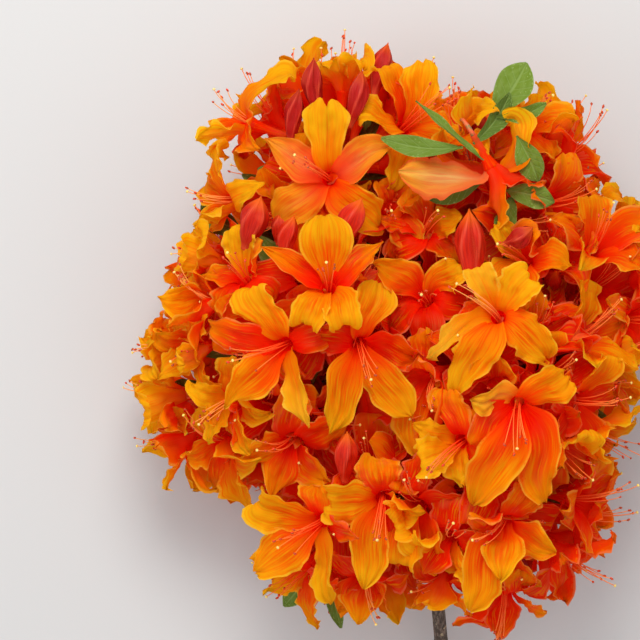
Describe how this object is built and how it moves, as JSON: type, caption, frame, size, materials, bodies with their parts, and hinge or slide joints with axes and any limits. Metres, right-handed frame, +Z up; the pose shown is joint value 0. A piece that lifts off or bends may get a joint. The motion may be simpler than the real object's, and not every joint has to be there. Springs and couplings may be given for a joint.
{
  "type": "flowering azalea branch",
  "caption": "Cut branch of a deciduous azalea lying on its side: a round head of orange trumpet flowers, red buds and green leaves on a forked woody stem",
  "frame": {"origin": "on the level surface that the branch lies on, under the middle of its overall box", "axes": "+Z up, the side of the branch that faces up; +Y from the cut end of the stem to the tip of the branch; +X to the right seen from above"},
  "size_m": [0.2512, 0.3445, 0.1618],
  "materials": {
    "petal": "soft satin, orange to red",
    "leaf": "matte, mid green",
    "bark": "rough, dark brown"
  },
  "bodies": {
    "root": {"bloom_foot_1": "petal", "bloom_foot_2": "petal", "bloom_foot_3": "petal", "bloom_foot_4": "petal", "bloom_inner_1": "petal", "bloom_inner_2": "petal", "bloom_inner_3": "petal", "bloom_left_1": "petal", "bloom_left_2": "petal", "bloom_left_3": "petal", "bloom_left_4": "petal", "bloom_left_5": "petal", "bloom_left_6": "petal", "bloom_low_right_1": "petal", "bloom_low_right_2": "petal", "bloom_low_right_3": "petal", "bloom_low_right_4": "petal", "bloom_low_right_5": "petal", "bloom_middle_1": "petal", "bloom_middle_2": "petal", "bloom_middle_3": "petal", "bloom_near_1": "petal", "bloom_near_2": "petal", "bloom_near_3": "petal", "bloom_near_4": "petal", "bloom_right_1": "petal", "bloom_right_top_1": "petal", "bloom_right_top_2": "petal", "bloom_right_top_3": "petal", "bloom_top_1": "petal", "bloom_top_2": "petal", "bloom_top_3": "petal", "bloom_top_4": "petal", "bloom_top_5": "petal", "bloom_upper_left_1": "petal", "bloom_upper_left_2": "petal", "bloom_upper_left_3": "petal", "bloom_upper_left_4": "petal", "bough_left": "bark", "bough_low_left": "bark", "bough_low_right": "bark", "bough_middle": "bark", "bough_right": "bark", "bough_top": "bark", "leaves_foot": "leaf", "leaves_upper": "leaf", "main_stem": "bark", "mass_back_foot": "petal", "mass_back_left": "petal", "mass_back_right": "petal", "mass_foot": "petal", "mass_inner": "petal", "mass_left": "petal", "mass_low_right": "petal", "mass_middle": "petal", "mass_near": "petal", "mass_right": "petal", "mass_right_top": "petal", "mass_top": "petal", "mass_upper_left": "petal"}
  },
  "joints": []
}
